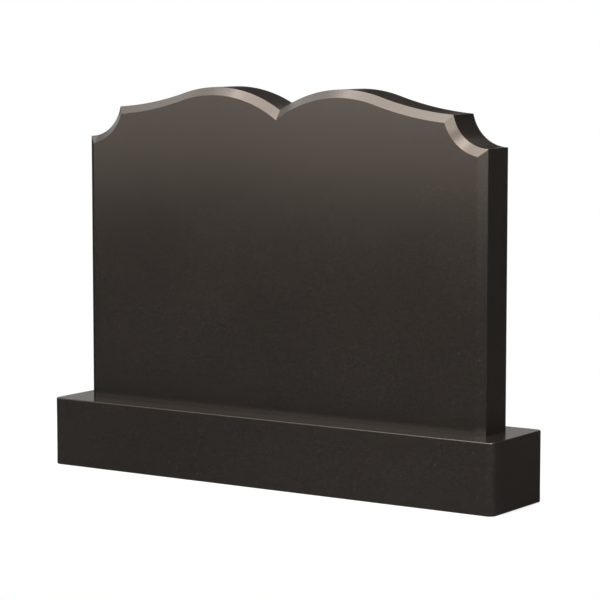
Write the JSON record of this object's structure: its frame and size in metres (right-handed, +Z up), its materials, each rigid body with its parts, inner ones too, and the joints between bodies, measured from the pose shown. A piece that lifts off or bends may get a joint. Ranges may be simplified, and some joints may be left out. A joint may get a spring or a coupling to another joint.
{
  "type": "headstone",
  "caption": "Upright granite headstone with a lobed and notched top, hollow shoulders and a bevelled front, standing flat on a rectangular plinth.",
  "frame": {"origin": "middle of the plinth's underside, on the ground", "axes": "+Z up, +X to the right across the front, -Y out of the bevelled front face"},
  "size_m": [1.112, 0.208, 0.8369],
  "materials": {
    "polished_granite": "polished, near-black fine-grained granite"
  },
  "bodies": {
    "root": {"tablet": "polished_granite", "base": "polished_granite"}
  },
  "joints": []
}
